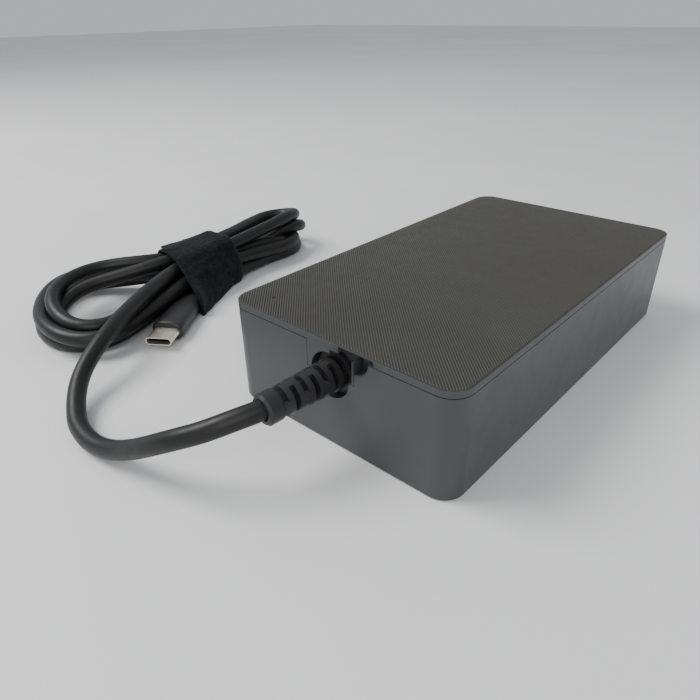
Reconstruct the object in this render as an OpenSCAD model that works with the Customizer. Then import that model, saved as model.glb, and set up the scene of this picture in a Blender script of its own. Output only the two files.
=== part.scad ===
// Laptop power adapter: a mains brick with a captive USB-C lead put away in a tied hank.
// Millimetres, +Z up. The origin is at the middle of the brick's underside, +X runs to the mains inlet.

/* [Case] */
// Length of the brick, from the lead's end to the inlet's end
case_length = 124; // [121:1:132]
// Width of the brick
case_width = 68.5; // [67:0.5:74]
// Height of the brick over the ribbed panel
case_height = 28.3; // [28:0.1:31]
// Radius of the upright corners
corner_radius = 5.5; // [4:0.5:7]
// Rounding along the lower edges
foot_radius = 0.6; // [0.4:0.1:1.2]
// Wall of the lower case
wall = 2.2; // [1.8:0.1:2.4]
// Height of the cover's plain rim below the panel
rim_height = 1.7; // [1.5:0.1:2.2]

/* [Top panel] */
// Distance from one diagonal rib to the next
rib_pitch = 0.6; // [0.6:0.1:1.2]
// Depth of the grooves between the ribs
rib_depth = 0.15; // [0.1:0.05:0.2]
// Radius of the status light window
window_radius = 0.45; // [0.4:0.05:0.7]

/* [Lead] */
// Diameter of the output lead
lead_diameter = 4.8; // [4.4:0.1:5]
// Length of the strain relief outside the case
boot_length = 19; // [17:0.5:22]
// Number of slots along the strain relief
boot_slots = 7; // [5:1:7]
// Height of the hank's loops away from the tie
loop_height = 15; // [14.5:0.5:15.5]

/* [Tie] */
// Width of the hook-and-loop tie
tie_width = 20; // [16:1:22]
// Thickness of the tie
tie_thickness = 1.4; // [1:0.1:1.8]

/* [Plug] */
// Length of the plug's overmould
grip_length = 24; // [20:1:25]
// Width of the overmould
grip_width = 10.4; // [10:0.2:12]
// Thickness of the overmould
grip_height = 6.6; // [6.2:0.1:7]

/* [Hidden] */

fine = 48;
medium = 32;
gap = 0.1;

// Case
half_length = case_length / 2;
half_width = case_width / 2;
panel_proud = 0.25;
panel_thickness = 0.9;
panel_inset = 0.35;
parting_gap = 0.2;
parting_height = case_height - panel_proud - rim_height;
cover_top = case_height - panel_proud;
cover_thickness = 1.9;
cover_underside = cover_top - cover_thickness;
window_at = [-half_length + 7.5, half_width - 8.5];
lip_depth = 2.4;
lip_thickness = 1;
label_length = 70;
label_width = 42;
label_thickness = 0.15;
label_recess = 0.25;
label_corner = 2;

// Lead's way out of the end wall
exit_y = -0.5;
exit_z = parting_height - 6.9;
exit_radius = 5.8;
exit_recess = 3;
neck_radius = 4;
end_block = 6;
block_drop = 8;
pocket_radius = 4;
pocket_rise = 0.15;
notch_half = 5;
notch_top = 1.6;
notch_radius = 0.7;
block_low_y = -14;
block_high_y = 8.6;
tongue_low_y = -7.9;
tongue_high_y = 6.6;
tongue_fit = 0.12;
rib_wall = 0.6;

// Board and its floor-to-lid stack
floor_gap = 0.1;
spreader_thickness = 0.8;
sheet_thickness = 0.3;
board_low = 5.5;
board_thickness = 1.6;
board_top = board_low + board_thickness;
board_start_x = -half_length + 5;
board_end_x = half_length - 22;
board_half_width = half_width - wall - 1.4;
pillar_radius = 2.6;
mains_x = half_length;
output_x = -half_length;

// Mains inlet, to the usual 10 A appliance coupler
inlet_z = 14.2;
inlet_width = 27;
inlet_height = 19.6;
inlet_length = 20;
socket_width = 24.5;
socket_height = 16.8;
socket_depth = 16.5;
socket_corner = 4.6;
pin_width = 2;
pin_tall = 4;
pin_reach = 14;
earth_extra = 1;
pin_tail = 3.5;
pin_spacing = 14;
pin_drop = 2;
wire_radius = 1;
wire_run = 3;
tail_x = half_length - inlet_length - pin_tail;

// Strain relief
boot_yaw = -5;
boot_pitch = 1.5;
boot_end_radius = 3.55;
boot_base_radius = 4.1;
boot_collar = 3.7;
boot_lip = 0.15;
boot_pitch_length = 2.67;
boot_slot = 1.3;
boot_bridge = 2.4;
flange_radius = 5.3;
flange_thickness = 1.1;

// Plug
plug_at = [-64.3, 70.7];
plug_turn = 34;
plug_height = grip_height / 2;
shell_width = 8.34;
shell_height = 2.56;
shell_length = 6.65;
shell_wall = 0.3;
tongue_width = 6.2;
grip_end_width = 8.4;
grip_shoulder = 6;
grip_chamfer = 0.8;
grip_edge = 2.6;

// Hank and its tie
hank_left = [-62, 105];
hank_left_radius = 25;
hank_right = [22, 111.5];
hank_right_radius = 14;
heap_left = [-43, 99];
heap_radius = 12;
heap_right = [-8, 107];
heap_step = 2;
heap_inset = 1.5;
arc_steps = 24;
tie_at = [-29, 102.5];
tie_turn = 12;
tie_span = 33;
tie_height = 19;
tie_corner = 6;
tie_clear = 0.3;

// The lead's route, its centre line from inside the case to the hank
boot_direction = [-cos(boot_yaw) * cos(boot_pitch), -sin(boot_yaw) * cos(boot_pitch), -sin(boot_pitch)];
exit_point = [-half_length, exit_y, exit_z];
lead_radius = lead_diameter / 2;
lead_sides = 10;
lead_rings = 2;
meeting_gap = 0.3;
ground_route = [
  [-85, 3.3, 18.4], [-88.5, 5.5, 17.4], [-91.6, 8.3, 16], [-94.3, 12, 14.3], [-96.6, 16.8, 11.8],
  [-98.4, 23, 8.3], [-99.7, 28.8, 5.4], [-101, 34.8, 3.4], [-101.6, 40.6, 2.6], [-101.2, 46.2, 2.5],
  [-99.8, 52, 3], [-97.2, 57, 4], [-94.5, 61, 5.4], [-91.8, 64.3, 6.8], [-88.4, 66.8, 8], [-85, 68.6, 9.4],
  [-82, 70, 10.8], [-77.5, 72.5, 11.8], [-73, 76, 12.2]];
hank_meeting = hank_left + (hank_left_radius + meeting_gap) * [cos(250), sin(250)];
lead_points = concat([for (along = [-2, boot_length / 2, boot_length - 3, boot_length, boot_length + 2])
    exit_point + along * boot_direction],
  ground_route, [[hank_meeting[0], hank_meeting[1], 12.2]]);

// ---- Shared shapes ----

// A flat rounded rectangle, centred on the origin.
module rounded_plate(length, width, radius, thickness) {
  linear_extrude(height = thickness) {
    square([length - 2 * radius, width], center = true);
    square([length, width - 2 * radius], center = true);
    for (x = [-1, 1], y = [-1, 1])
      translate([x * (length / 2 - radius), y * (width / 2 - radius)])
        circle(r = radius, $fn = fine);
  }
}

// Half of an upright section with a rounded lower corner.
module foot_profile(reach, height) {
  translate([0, foot_radius])
    square([reach, height - foot_radius]);
  square([reach - foot_radius, height]);
  translate([reach - foot_radius, foot_radius])
    circle(r = foot_radius, $fn = medium);
}

// A block with upright rounded corners and rounded lower edges, standing on z = 0.
module rounded_block(length, width, radius, height) {
  for (x = [-1, 1], y = [-1, 1])
    translate([x * (length / 2 - radius), y * (width / 2 - radius), 0])
      rotate_extrude($fn = fine)
        foot_profile(radius, height);
  translate([-length / 2 + radius, 0, 0])
    rotate([90, 0, 90])
      linear_extrude(height = length - 2 * radius) {
        foot_profile(width / 2, height);
        mirror([1, 0])
          foot_profile(width / 2, height);
      }
  translate([0, width / 2 - radius, 0])
    rotate([90, 0, 0])
      linear_extrude(height = width - 2 * radius) {
        foot_profile(length / 2, height);
        mirror([1, 0])
          foot_profile(length / 2, height);
      }
}

// A box given by its low corner and its size.
module box(low, size) {
  translate(low)
    cube(size);
}

// A cylinder lying along X from a start point.
module rod_x(start, radius, length) {
  translate(start)
    rotate([0, 90, 0])
      cylinder(r = radius, h = length, $fn = medium);
}

// A cylinder lying along Y from a start point.
module rod_y(start, radius, length) {
  translate(start)
    rotate([-90, 0, 0])
      cylinder(r = radius, h = length, $fn = medium);
}

// A flat ring standing on z = 0.
module ring(outer, inner, height) {
  difference() {
    cylinder(r = outer, h = height, $fn = fine);
    translate([0, 0, -1])
      cylinder(r = inner, h = height + 2, $fn = fine);
  }
}

// A wire that leaves a pin's tail, turns down and lands on the board.
module bent_wire(start) {
  landing = start[2] - board_top - wire_run;
  rod_x([start[0] - wire_run, start[1], start[2]], wire_radius, wire_run);
  translate([start[0] - wire_run, start[1], start[2] - wire_run])
    rotate([90, 0, 180])
      rotate_extrude(angle = 90, $fn = fine)
        translate([wire_run, 0])
          circle(r = wire_radius, $fn = medium);
  translate([start[0] - 2 * wire_run, start[1], board_top])
    cylinder(r = wire_radius, h = landing, $fn = medium);
}

// ---- Lead, by functions that sweep a ring along the route ----

function route_at(points, i) = points[min(max(i, 0), len(points) - 1)];
function blend(a, b, c, d, t) = 0.5 * ((2 * b) + (c - a) * t + (2 * a - 5 * b + 4 * c - d) * t * t
  + (3 * b - a - 3 * c + d) * t * t * t);
function smooth_route(points, step) = concat(
  [for (i = [0 : len(points) - 2], k = [0 : step - 1])
    blend(route_at(points, i - 1), points[i], points[i + 1], route_at(points, i + 2), k / step)],
  [points[len(points) - 1]]);
function unit(v) = v / norm(v);
function heading(path, i) = unit(route_at(path, i + 1) - route_at(path, i - 1));
function ring_points(centre, ahead, radius, sides) =
  let (side = unit(cross(ahead, [0, 0, 1])), up = cross(side, ahead))
  [for (k = [0 : sides - 1]) centre + radius * (cos(360 * k / sides) * side + sin(360 * k / sides) * up)];

module tube_along(path, radius, sides) {
  rings = len(path);
  corners = [for (i = [0 : rings - 1]) each ring_points(path[i], heading(path, i), radius, sides)];
  walls = [for (i = [0 : rings - 2], k = [0 : sides - 1])
    let (a = i * sides + k, b = i * sides + (k + 1) % sides)
    each [[a, b, a + sides], [b, b + sides, a + sides]]];
  first_end = [[for (k = [sides - 1 : -1 : 0]) k]];
  last_end = [[for (k = [0 : sides - 1]) (rings - 1) * sides + k]];
  polyhedron(points = corners, faces = concat(walls, first_end, last_end));
}

// ---- Case ----

module exit_opening() {
  translate([-half_length - 1, exit_y, exit_z])
    rotate([0, 90, 0]) {
      cylinder(r = exit_radius, h = exit_recess + 1, $fn = fine);
      cylinder(r = neck_radius, h = end_block + 2, $fn = fine);
    }
}

module inlet_window() {
  box([half_length - wall - 1, -inlet_width / 2 - gap, inlet_z - inlet_height / 2 - gap],
    [wall + 2, inlet_width + 2 * gap, inlet_height + 2 * gap]);
}

module quarter_pocket() {
  intersection() {
    translate([-half_length - 1, tongue_low_y, parting_height + pocket_rise])
      rotate([0, 90, 0])
        cylinder(r = pocket_radius, h = exit_recess + 1, $fn = fine);
    box([-half_length - 2, tongue_low_y - pocket_radius - 1, parting_height - pocket_radius - 1],
      [exit_recess + 2, pocket_radius + 1, pocket_radius + 2]);
  }
}

module board_pillars() {
  for (x = [board_start_x + 4, board_end_x - 4], y = [-1, 1])
    translate([x, y * (board_half_width - 3.5), wall / 2])
      cylinder(r = pillar_radius, h = board_low - wall / 2, $fn = medium);
}

// The room inside the lower case, less the solid block that the lead passes through.
module case_hollow() {
  difference() {
    translate([0, 0, wall])
      rounded_plate(case_length - 2 * wall, case_width - 2 * wall, corner_radius - wall / 2, case_height);
    box([-half_length, block_low_y, exit_z - block_drop],
      [end_block, block_high_y - block_low_y, case_height + 2 * block_drop]);
  }
}

module lower_case() {
  color([0.27, 0.275, 0.29])
    difference() {
      union() {
        difference() {
          rounded_block(case_length, case_width, corner_radius, parting_height);
          case_hollow();
        }
        board_pillars();
      }
      exit_opening();
      quarter_pocket();
      inlet_window();
      box([-half_length - 1, tongue_low_y, exit_z], [end_block + 2, tongue_high_y - tongue_low_y, 10]);
      translate([0, 0, -1])
        rounded_plate(label_length + 2 * gap, label_width + 2 * gap, label_corner, 1 + label_recess);
    }
}

// The cover's tongue fills the slot above the lead and holds the strain relief down.
module cover_tongue() {
  difference() {
    box([-half_length, tongue_low_y + tongue_fit, exit_z + tongue_fit],
      [end_block, tongue_high_y - tongue_low_y - 2 * tongue_fit, cover_underside - exit_z + 0.5]);
    exit_opening();
    box([-half_length - 1, tongue_low_y + rib_wall + tongue_fit, exit_z - 1],
      [exit_recess + 1, exit_y - 0.4 - tongue_low_y - rib_wall, parting_height - exit_z + 0.8]);
  }
}

module rim_notch() {
  translate([-half_length - 1, exit_y - 7.8, 0]) {
    straight = notch_half - notch_radius;
    box([0, -notch_half, parting_height - 1], [exit_recess + 1, 2 * notch_half, notch_top - notch_radius + 1]);
    box([0, -straight, parting_height], [exit_recess + 1, 2 * straight, notch_top]);
    for (y = [-straight, straight])
      rod_x([0, y, parting_height + notch_top - notch_radius], notch_radius, exit_recess + 1);
  }
}

module upper_cover() {
  color([0.25, 0.25, 0.26])
    difference() {
      union() {
        difference() {
          union() {
            translate([0, 0, parting_height + parting_gap])
              rounded_plate(case_length, case_width, corner_radius,
                cover_top - parting_height - parting_gap);
            translate([0, 0, parting_height])
              rounded_plate(case_length - 1.2, case_width - 1.2, corner_radius - 0.6, parting_gap + 0.1);
          }
          translate([0, 0, parting_height - 1])
            rounded_plate(case_length - 2 * wall - 0.4, case_width - 2 * wall - 0.4, corner_radius - 1.2,
              cover_underside - parting_height + 1);
          translate([0, 0, cover_top - panel_thickness + panel_proud])
            rounded_plate(case_length - 2 * panel_inset, case_width - 2 * panel_inset,
              corner_radius - panel_inset, panel_thickness);
        }
        lid_lip();
        cover_tongue();
      }
      rim_notch();
      window_hole(1.1, cover_top - 2);
    }
}

// A lip that stands inside the lower case's wall.
module lid_lip() {
  difference() {
    translate([0, 0, parting_height - lip_depth])
      rounded_plate(case_length - 2 * wall - 2 * gap, case_width - 2 * wall - 2 * gap, corner_radius - 1.2,
        lip_depth + cover_underside - parting_height + 0.3);
    translate([0, 0, parting_height - lip_depth - 1])
      rounded_plate(case_length - 2 * wall - 2 * lip_thickness, case_width - 2 * wall - 2 * lip_thickness,
        corner_radius - 2, lip_depth + cover_underside - parting_height + 1.3);
    box([-half_length - 1, block_low_y - 0.3, 0],
      [end_block + 2, block_high_y - block_low_y + 0.6, parting_height]);
    box([half_length - inlet_length - 2, -inlet_width / 2 - 0.3, 0],
      [inlet_length + 3, inlet_width + 0.6, parting_height]);
  }
}

module window_hole(radius, low) {
  translate([window_at[0], window_at[1], low - 2])
    cylinder(r = radius, h = 6, $fn = medium);
}

// Ribs at 45 degrees, cut as V grooves into the panel's upper face.
module top_panel() {
  reach = (case_length + case_width) / sqrt(2) + 2 * rib_pitch;
  grooves = floor(reach / rib_pitch);
  color([0.27, 0.27, 0.25])
    difference() {
      translate([0, 0, case_height - panel_thickness])
        rounded_plate(case_length - 2 * panel_inset - 2 * gap, case_width - 2 * panel_inset - 2 * gap,
          corner_radius - panel_inset, panel_thickness);
      window_hole(window_radius, case_height - 2);
      translate([0, 0, case_height])
        rotate([0, 0, 45])
          rotate([90, 0, 0])
            linear_extrude(height = reach, center = true)
              polygon(concat(
                [for (i = [0 : 2 * grooves])
                  [(i - grooves) * rib_pitch / 2, i % 2 == 0 ? -rib_depth : 0]],
                [[grooves * rib_pitch / 2, 1], [-grooves * rib_pitch / 2, 1]]));
    }
}

module light_window() {
  color([0.85, 0.88, 0.9])
    translate([window_at[0], window_at[1], 0]) {
      translate([0, 0, board_top + 1])
        cylinder(r = 1, h = case_height - panel_thickness - board_top - 1, $fn = medium);
      cylinder_from(case_height - panel_thickness - 1, window_radius - 0.02, panel_thickness + 0.75);
    }
}

module cylinder_from(low, radius, height) {
  translate([0, 0, low])
    cylinder(r = radius, h = height, $fn = medium);
}

module rating_label() {
  color([0.5, 0.5, 0.52])
    translate([0, 0, label_recess - label_thickness])
      rounded_plate(label_length, label_width, label_corner, label_thickness);
}

// ---- Strain relief ----

module boot_slot_cut(station, sideways) {
  base = boot_length - boot_collar - boot_lip - station * boot_pitch_length - boot_slot;
  translate([0, 0, base])
    rotate([0, 0, sideways ? 90 : 0])
      difference() {
        cylinder(r = 6, h = boot_slot, $fn = fine);
        box([-boot_bridge / 2, -7, -1], [boot_bridge, 14, boot_slot + 2]);
      }
}

module strain_relief() {
  color([0.05, 0.05, 0.055])
    difference() {
      union() {
        translate(exit_point)
          rotate([0, -90 - boot_pitch, boot_yaw])
            difference() {
              rotate_extrude($fn = fine)
                polygon([[0, -exit_recess + 0.6], [boot_base_radius, -exit_recess + 0.6],
                  [boot_base_radius, 0], [boot_end_radius, boot_length - boot_collar],
                  [boot_end_radius + 0.15, boot_length - boot_collar + 0.2],
                  [boot_end_radius + 0.15, boot_length - 0.6], [boot_end_radius - 0.4, boot_length],
                  [0, boot_length]]);
              for (i = [0 : boot_slots - 1])
                boot_slot_cut(i, i % 2 == 1);
            }
        rod_x([-half_length + exit_recess - flange_thickness - 0.05, exit_y, exit_z], flange_radius,
          flange_thickness);
        rod_x([-half_length + exit_recess - 0.5, exit_y, exit_z], neck_radius - 0.1, end_block - 2);
      }
      lead_bore();
    }
}

// The way through the strain relief that the lead fills.
module lead_bore() {
  translate(exit_point)
    rotate([0, -90 - boot_pitch, boot_yaw])
      translate([0, 0, -2 - 8])
        cylinder(r = lead_radius + 0.02, h = boot_length + 20, $fn = fine);
}

module lead() {
  color([0.06, 0.06, 0.065])
    tube_along(smooth_route(lead_points, lead_rings), lead_radius, lead_sides);
}

// ---- Hank, tie and plug ----

// Where a plug piece goes: its mouth at the origin, its length along +X.
module at_plug() {
  translate([plug_at[0], plug_at[1], plug_height])
    rotate([0, 0, plug_turn])
      children();
}

module at_tie() {
  translate([tie_at[0], tie_at[1], 0])
    rotate([0, 0, tie_turn])
      children();
}

// A bar with a rounded-oblong section, lying along X from its start.
module oblong_bar(start_x, length, width, height) {
  translate([start_x, 0, 0])
    rotate([90, 0, 90])
      linear_extrude(height = length) {
        square([width - height, height], center = true);
        for (y = [-1, 1])
          translate([y * (width - height) / 2, 0])
            circle(d = height, $fn = medium);
      }
}

module grip_outline(extra) {
  start = shell_length - extra;
  end = shell_length + grip_length + extra;
  side = grip_width / 2 + extra;
  linear_extrude(height = grip_height + 2 * extra, center = true)
    polygon([[start, grip_chamfer - side], [start + grip_chamfer, -side], [end - grip_shoulder, -side],
      [end, -grip_end_width / 2 - extra], [end, grip_end_width / 2 + extra],
      [end - grip_shoulder, side], [start + grip_chamfer, side], [start, side - grip_chamfer]]);
}

module plug_grip() {
  color([0.06, 0.06, 0.065])
    at_plug()
      difference() {
        intersection() {
          grip_outline(0);
          oblong_side_profile();
        }
        box([shell_length - 1, -4.4, -1.5], [15, 8.8, 3]);
      }
}

// Rounds the overmould's long edges.
module oblong_side_profile() {
  rotate([90, 0, 90])
    linear_extrude(height = shell_length + grip_length + 1) {
      square([grip_width - 2 * grip_edge, grip_height], center = true);
      square([grip_width, grip_height - 2 * grip_edge], center = true);
      for (y = [-1, 1], z = [-1, 1])
        translate([y * (grip_width / 2 - grip_edge), z * (grip_height / 2 - grip_edge)])
          circle(r = grip_edge, $fn = medium);
    }
}

module plug_shell() {
  color([0.72, 0.7, 0.64])
    at_plug()
      difference() {
        oblong_bar(0, shell_length + 5, shell_width, shell_height);
        oblong_bar(-1, shell_length + 7, shell_width - 2 * shell_wall, shell_height - 2 * shell_wall);
      }
}

module plug_tongue() {
  color([0.1, 0.1, 0.1])
    at_plug()
      difference() {
        oblong_bar(0.9, shell_length + 3.9, shell_width - 2 * shell_wall - 0.06,
          shell_height - 2 * shell_wall - 0.06);
        box([0.5, -tongue_width / 2 - 0.3, -0.36], [shell_length - 0.6, tongue_width + 0.6, 0.72]);
      }
}

module plug_board() {
  color([0.1, 0.3, 0.18])
    at_plug()
      box([shell_length + 5.1, -4, -0.4], [8.5, 8, 0.8]);
}

// Points along an arc, from the first angle to the last.
function arc(centre, radius, first, last) =
  [for (k = [0 : arc_steps]) centre + radius * [cos(first + (last - first) * k / arc_steps),
    sin(first + (last - first) * k / arc_steps)]];

// A flat bar with round ends of two sizes, between two points.
module loop_outline(from, from_radius, to, to_radius) {
  along = atan2(to[1] - from[1], to[0] - from[0]);
  lean = asin((from_radius - to_radius) / norm(to - from));
  polygon(concat(arc(from, from_radius, along + 90 - lean, along + 270 + lean),
    arc(to, to_radius, along - 90 + lean, along + 90 - lean)));
}

// The outer shape of the folded lead: two flat loops, heaped up and nipped in under the tie.
module lead_hank() {
  color([0.06, 0.06, 0.065])
    difference() {
      union() {
        linear_extrude(height = loop_height)
          loop_outline(hank_left, hank_left_radius, hank_right, hank_right_radius);
        linear_extrude(height = loop_height + heap_step)
          loop_outline(heap_left, heap_radius, hank_right, hank_right_radius - heap_inset);
        linear_extrude(height = tie_height - tie_thickness - 3 * gap)
          loop_outline(heap_left, heap_radius - heap_inset, heap_right, heap_radius - 2 * heap_inset);
      }
      at_tie()
        difference() {
          box([-tie_width / 2 - tie_clear, -40, -1], [tie_width + 2 * tie_clear, 80, 40]);
          tie_section(tie_width + 2, tie_span - 2 * gap, tie_height - gap);
        }
      at_plug() {
        grip_outline(0);
        box([-9, -5, -5], [16, 10, 30]);
      }
    }
}

// A bar with rounded corners under the tie, standing on z = 0.
module tie_section(length, span, height) {
  inner_corner = tie_corner - tie_thickness;
  low = tie_thickness + 0.1;
  translate([-length / 2, 0, 0])
    rotate([90, 0, 90])
      linear_extrude(height = length)
        rounded_section(span - 2 * tie_thickness, low, height - tie_thickness, inner_corner);
}

module rounded_section(width, low, high, corner) {
  translate([-width / 2 + corner, low])
    square([width - 2 * corner, high - low]);
  translate([-width / 2, low + corner])
    square([width, high - low - 2 * corner]);
  for (y = [-1, 1], z = [low + corner, high - corner])
    translate([y * (width / 2 - corner), z])
      circle(r = corner, $fn = medium);
}

module hank_tie() {
  color([0.05, 0.05, 0.055])
    difference() {
      at_tie()
        translate([-tie_width / 2, 0, 0])
          rotate([90, 0, 90])
            linear_extrude(height = tie_width)
              difference() {
                rounded_section(tie_span, 0, tie_height, tie_corner);
                rounded_section(tie_span - 2 * tie_thickness, tie_thickness, tie_height - tie_thickness,
                  tie_corner - tie_thickness);
              }
      at_plug()
        grip_outline(0.1);
    }
}

// ---- Mains inlet ----

module socket_outline(width, height) {
  polygon([[-width / 2, -height / 2], [width / 2, -height / 2], [width / 2, height / 2 - socket_corner],
    [width / 2 - socket_corner, height / 2], [-width / 2 + socket_corner, height / 2],
    [-width / 2, height / 2 - socket_corner]]);
}

module inlet_housing() {
  color([0.05, 0.05, 0.055])
    difference() {
      box([half_length - inlet_length, -inlet_width / 2, inlet_z - inlet_height / 2],
        [inlet_length, inlet_width, inlet_height]);
      translate([half_length - socket_depth, 0, inlet_z])
        rotate([90, 0, 90])
          linear_extrude(height = socket_depth + 1)
            socket_outline(socket_width, socket_height);
      for (pin = [[-pin_spacing / 2, -pin_drop], [0, pin_drop], [pin_spacing / 2, -pin_drop]])
        box([half_length - inlet_length - 1, pin[0] - pin_width / 2, inlet_z + pin[1] - pin_tall / 2],
          [inlet_length, pin_width, pin_tall]);
    }
}

// A flat blade with a bevelled tip, from its tail behind the housing.
module inlet_pin(y, drop, reach) {
  tip = 1;
  base = half_length - inlet_length - pin_tail;
  total = inlet_length - socket_depth + pin_tail + reach;
  color([0.78, 0.77, 0.72])
    translate([base, y, inlet_z + drop])
      rotate([90, 0, 0])
        linear_extrude(height = pin_width, center = true)
          polygon([[0, -pin_tall / 2], [total - tip, -pin_tall / 2], [total, -pin_tall / 2 + tip],
            [total, pin_tall / 2 - tip], [total - tip, pin_tall / 2], [0, pin_tall / 2]]);
}

module pin_live() {
  inlet_pin(-pin_spacing / 2, -pin_drop, pin_reach);
}

module pin_neutral() {
  inlet_pin(pin_spacing / 2, -pin_drop, pin_reach);
}

module pin_earth() {
  inlet_pin(0, pin_drop, pin_reach + earth_extra);
}

module wire_live() {
  color([0.42, 0.24, 0.12])
    bent_wire([tail_x, -pin_spacing / 2, inlet_z - pin_drop]);
}

module wire_neutral() {
  color([0.12, 0.25, 0.55])
    bent_wire([tail_x, pin_spacing / 2, inlet_z - pin_drop]);
}

module wire_earth() {
  color([0.45, 0.6, 0.15])
    bent_wire([tail_x, 0, inlet_z + pin_drop]);
}

// ---- Boards and parts. The mains side is placed from the inlet's end, the rest from the lead's end. ----

module main_board() {
  color([0.12, 0.34, 0.2])
    difference() {
      box([board_start_x, -board_half_width, board_low],
        [board_end_x - board_start_x, 2 * board_half_width, board_thickness]);
      box([mains_x - 62, -15.2, board_low - 1], [1.6, 26, board_thickness + 2]);
    }
}

module fuse() {
  color([0.75, 0.72, 0.66]) {
    rod_y([mains_x - 33, -28, board_top + 3], 2.6, 14);
    rod_y([mains_x - 33, -28.5, board_top + 3], 2.9, 3);
    rod_y([mains_x - 33, -16.5, board_top + 3], 2.9, 3);
    for (y = [-27, -15])
      translate([mains_x - 33, y, board_top])
        cylinder(r = 0.4, h = 1, $fn = 16);
  }
}

module varistor() {
  color([0.15, 0.3, 0.6]) {
    rod_x([mains_x - 35, -7, board_top + 6.8], 5, 4);
    for (y = [-9.5, -4.5])
      translate([mains_x - 33, y, board_top])
        cylinder(r = 0.4, h = 5, $fn = 16);
  }
}

module x_capacitor() {
  color([0.75, 0.62, 0.15])
    box([mains_x - 41, 1, board_top], [9.5, 18, 14]);
}

module choke_core() {
  color([0.2, 0.2, 0.21])
    translate([mains_x - 51.5, -18, board_top + 2.2])
      ring(8.2, 4.6, 8);
}

module choke_windings() {
  color([0.7, 0.4, 0.16])
    for (start = [25, 205])
      translate([mains_x - 51.5, -18, board_top])
        difference() {
          rotate([0, 0, start])
            rotate_extrude(angle = 130, $fn = fine)
              translate([3.4, 1])
                square([6, 10.4]);
          translate([0, 0, 2.1])
            ring(8.3, 4.5, 8.2);
        }
}

module bridge_rectifier() {
  color([0.08, 0.08, 0.09]) {
    box([mains_x - 59.5, -6.4, board_top + 3], [15, 3.6, 12]);
    for (i = [0 : 3])
      box([mains_x - 58.5 + 4 * i, -5, board_top], [1, 0.6, 3]);
  }
}

module factor_inductor() {
  color([0.2, 0.2, 0.21]) {
    box([mains_x - 60, 1, board_top], [18, 19, 3.4]);
    box([mains_x - 60, 1, board_top + 12.6], [18, 19, 3.4]);
    translate([mains_x - 51, 10.5, board_top + 3.4])
      cylinder(r = 8.2, h = 9.2, $fn = fine);
  }
}

module bulk_capacitor() {
  color([0.1, 0.1, 0.12]) {
    rod_x([output_x + 34, 20.6, board_top + 8.2], 8.1, 27);
    rod_x([output_x + 34.5, 20.6, board_top + 8.2], 8.2, 2);
    for (y = [18, 23])
      rod_x([output_x + 32, y, board_top + 8.2], 0.4, 2);
  }
}

module primary_heat_sink() {
  color([0.7, 0.71, 0.73]) {
    box([output_x + 34, -18.6, board_top], [24, 1.6, 15]);
    box([output_x + 34, -29.5, board_top + 13.4], [24, 11, 1.6]);
  }
}

module primary_transistor() {
  color([0.08, 0.08, 0.09])
    for (x = [output_x + 35, output_x + 47]) {
      box([x, -23.3, board_top + 3], [10, 4.6, 9.5]);
      for (i = [0 : 2])
        box([x + 2 + 2.5 * i, -21.6, board_top], [0.9, 0.6, 3]);
    }
}

module transformer_core() {
  color([0.2, 0.2, 0.21])
    difference() {
      box([output_x + 36, -15.5, board_top + 1.2], [22, 25, 15.6]);
      box([output_x + 35, -10.5, board_top + 4.6], [24, 15, 8.8]);
    }
}

module transformer_winding() {
  color([0.78, 0.66, 0.12]) {
    box([output_x + 32.5, -10.3, board_top + 4.8], [29, 14.6, 8.4]);
    for (x = [output_x + 32.5, output_x + 58.9])
      box([x, -10.3, board_top], [2.6, 14.6, 4.8]);
  }
}

module y_capacitor() {
  color([0.14, 0.28, 0.6]) {
    rod_x([output_x + 29, -24, board_top + 5], 3.4, 3);
    for (y = [-26, -22])
      translate([output_x + 30.5, y, board_top])
        cylinder(r = 0.35, h = 3, $fn = 16);
  }
}

module optocoupler() {
  color([0.9, 0.9, 0.88]) {
    box([output_x + 27, 12.5, board_top + 0.4], [4.6, 6.4, 3.4]);
    for (x = [27.8, 30.2], y = [11.7, 18.9])
      box([output_x + x, y, board_top], [0.8, 0.8, 1.6]);
  }
}

module secondary_heat_sink() {
  color([0.7, 0.71, 0.73]) {
    box([output_x + 26, -29.5, board_top], [1.6, 27, 15]);
    box([output_x + 16, -29.5, board_top + 13.4], [10, 27, 1.6]);
  }
}

module rectifier_transistor() {
  color([0.08, 0.08, 0.09]) {
    box([output_x + 21.3, -27, board_top + 3], [4.6, 10, 9.5]);
    for (i = [0 : 2])
      box([output_x + 23, -25 + 2.5 * i, board_top], [0.6, 0.9, 3]);
  }
}

module output_choke() {
  color([0.5, 0.35, 0.18])
    translate([output_x + 20, 22.4, board_top + 0.6])
      ring(6.4, 2.6, 8);
}

module output_capacitors() {
  color([0.12, 0.14, 0.3])
    for (at = [[15.5, -6], [15.5, 3.5], [24.6, 3.5]])
      translate([output_x + at[0], at[1], board_top])
        cylinder(r = 4.1, h = 13, $fn = medium);
}

module control_board() {
  color([0.12, 0.34, 0.2])
    box([output_x + 8.4, 12, board_top], [17, 1.2, 13]);
}

module control_chip() {
  color([0.07, 0.07, 0.08])
    box([output_x + 14, 10.9, board_top + 5], [5, 1.1, 5]);
}

module status_led() {
  color([0.9, 0.92, 0.85])
    box([window_at[0] - 0.8, window_at[1] - 0.4, board_top], [1.6, 0.8, 0.7]);
}

// The two conductors that leave the jacket inside the case and land on the board.
module lead_wires() {
  inside = exit_point - 2 * boot_direction;
  core = 0.7;
  color([0.7, 0.12, 0.1])
    for (side = [-1, 1]) {
      rod_x([inside[0] + 0.3, exit_y + side * 1, exit_z], core, 8.35);
      translate([inside[0] + 8.65, exit_y + side * 1, board_top])
        cylinder(r = core, h = exit_z - board_top, $fn = medium);
      translate([inside[0] + 8.65, exit_y + side * 1, exit_z])
        sphere(r = core, $fn = medium);
    }
}

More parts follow.
